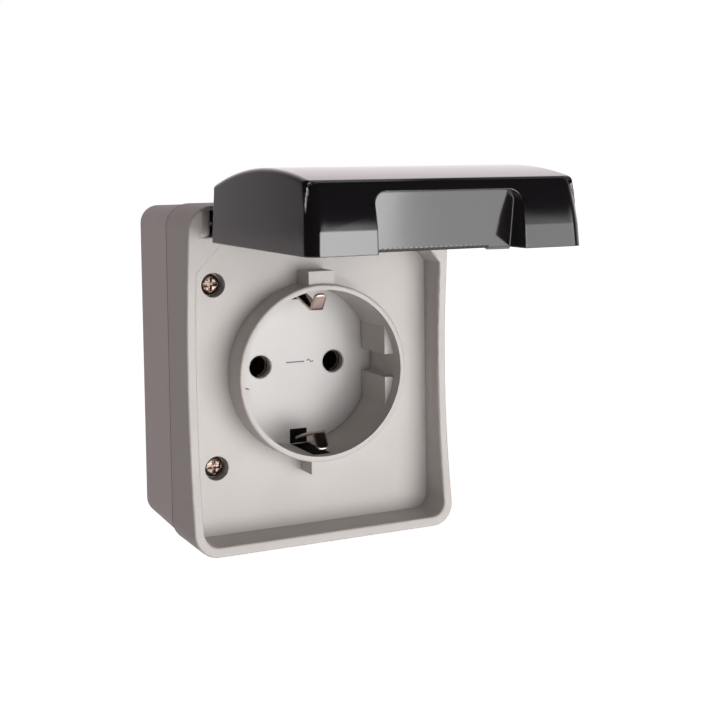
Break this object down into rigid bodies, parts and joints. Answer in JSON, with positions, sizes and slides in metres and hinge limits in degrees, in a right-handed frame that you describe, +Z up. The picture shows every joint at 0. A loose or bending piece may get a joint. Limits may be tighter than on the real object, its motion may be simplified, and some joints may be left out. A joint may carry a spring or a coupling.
{
  "type": "outdoor socket outlet",
  "caption": "Surface-mounted splash-proof earthed socket outlet with a hinged, sealed lid, a waisted two-part housing and side earth contacts.",
  "frame": {"origin": "centre of the wall-fixing hole pattern on the wall face, on the axis of the plug dish", "axes": "+X to the right seen from the user, +Y into the wall, +Z up; the socket faces -Y"},
  "size_m": [0.0652, 0.1055, 0.0904],
  "materials": {
    "housing_grey": "fine spark texture, light warm grey",
    "cover_grey": "fine spark texture, light warm grey",
    "lid_anthracite": "glossy anthracite",
    "face_white": "satin pale grey",
    "base_grey": "matt moulded grey",
    "seal_rubber": "soft matt black",
    "lid_rubber": "soft matt black",
    "contact_brass": "plain stamped brass",
    "nickel": "nickel plated",
    "pin_steel": "plain bright steel",
    "screw_steel": "nickel plated, warm"
  },
  "bodies": {
    "housing": {"back_box": "housing_grey", "cover": "cover_grey", "cover_gasket": "seal_rubber", "hinge_pin": "pin_steel", "socket_face": "face_white", "dish_seal": "seal_rubber", "socket_base": "base_grey", "contact_line": "contact_brass", "contact_neutral": "contact_brass", "earth_contact": "nickel", "terminal_line": "contact_brass", "terminal_earth": "contact_brass", "terminal_neutral": "contact_brass", "screw_line": "screw_steel", "screw_earth": "screw_steel", "screw_neutral": "screw_steel", "cover_screw_top": "screw_steel", "cover_screw_bottom": "screw_steel", "insert_screw_left": "screw_steel", "insert_screw_right": "screw_steel", "cable_grommet": "seal_rubber"},
    "lid": {"lid": "lid_anthracite", "lid_seal": "lid_rubber"}
  },
  "joints": [
    {"name": "lid_hinge", "type": "hinge", "parent": "housing", "child": "lid", "pos_m": [0, -0.0374, 0.036], "axis": [1, 0, 0], "range_deg": [0, 90]}
  ]
}
